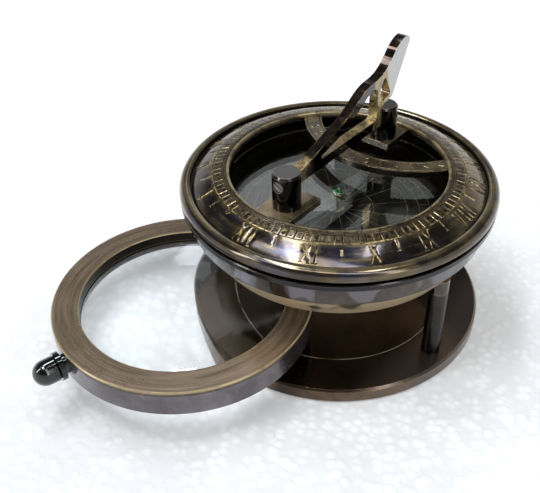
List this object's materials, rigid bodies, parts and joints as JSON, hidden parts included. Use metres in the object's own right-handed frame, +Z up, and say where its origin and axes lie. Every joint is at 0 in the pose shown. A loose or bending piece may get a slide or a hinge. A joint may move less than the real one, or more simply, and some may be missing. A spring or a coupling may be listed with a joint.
{
  "type": "sundial compass",
  "caption": "Pocket sundial compass: domed hour dial with a folding gnomon over a glazed compass, on a pillared base with a swing-out magnifier.",
  "frame": {"origin": "centre of the underside of the round base, on the surface that it stands on", "axes": "+Z up through the needle's pivot, +Y along the gnomon's hinge from its low foot to its tall sail, +X to the right of that"},
  "size_m": [0.0868, 0.1115, 0.0647],
  "materials": {
    "base_bronze": "antiqued brown bronze, brushed, edges rubbed to gold",
    "pillar_bronze": "dark patinated, polished",
    "screw_brass": "worn brass",
    "frame_bronze": "brushed brown top, smoother sides",
    "cap_bronze": "brushed brown, gold-rubbed edges",
    "lens_glass": "polished clear lens",
    "knob_gunmetal": "black gunmetal, polished",
    "case_bronze": "dark polished patina",
    "bowl_black": "blackened inside",
    "card_bronze": "dark engraved card",
    "needle_black": "blued black steel",
    "pivot_brass": "turned brass",
    "jewel_green": "green glass jewel",
    "compass_glass": "clear flat glass",
    "spring_wire": "drawn wire, dark",
    "dial_bronze": "dark antique bronze with gold-rubbed engraving",
    "post_bronze": "dark polished",
    "gnomon_bronze": "brown bronze, polished faces and gold-rubbed edges",
    "hinge_steel": "worn steel"
  },
  "bodies": {
    "stand": {"base_plate": "base_bronze", "base_screws": "screw_brass", "middle_pillar": "pillar_bronze", "rear_pillar": "pillar_bronze", "pivot_lower_spacer": "pillar_bronze", "pivot_upper_spacer": "pillar_bronze", "pivot_bolt": "screw_brass", "compass_case": "case_bronze", "compass_bowl": "bowl_black", "compass_card": "card_bronze", "needle_pivot": "pivot_brass", "compass_glass": "compass_glass", "glass_spring_ring": "spring_wire", "dial_ring": "dial_bronze", "front_post": "post_bronze", "rear_post": "post_bronze", "post_screws": "screw_brass"},
    "magnifier": {"magnifier_frame": "frame_bronze", "magnifier_cap_ring": "cap_bronze", "magnifier_lens": "lens_glass", "knob_stud": "knob_gunmetal", "knob_disc": "knob_gunmetal", "magnifier_knob": "knob_gunmetal"},
    "needle": {"compass_needle": "needle_black", "needle_cap": "pivot_brass", "needle_jewel": "jewel_green"},
    "gnomon": {"gnomon": "gnomon_bronze", "front_hinge_screw": "hinge_steel", "rear_hinge_screw": "hinge_steel"}
  },
  "joints": [
    {"name": "magnifier_swing", "type": "hinge", "parent": "stand", "child": "magnifier", "pos_m": [-0.03003, -0.01105, 0.0126], "axis": [0, 0, 1], "range_deg": [-150, 85]},
    {"name": "needle_turn", "type": "hinge", "parent": "stand", "child": "needle", "pos_m": [0, 0, 0.032], "axis": [0, 0, 1], "continuous": true},
    {"name": "gnomon_fold", "type": "hinge", "parent": "stand", "child": "gnomon", "pos_m": [0, 0, 0.0465], "axis": [0, 1, 0], "range_deg": [-90, 90]}
  ]
}
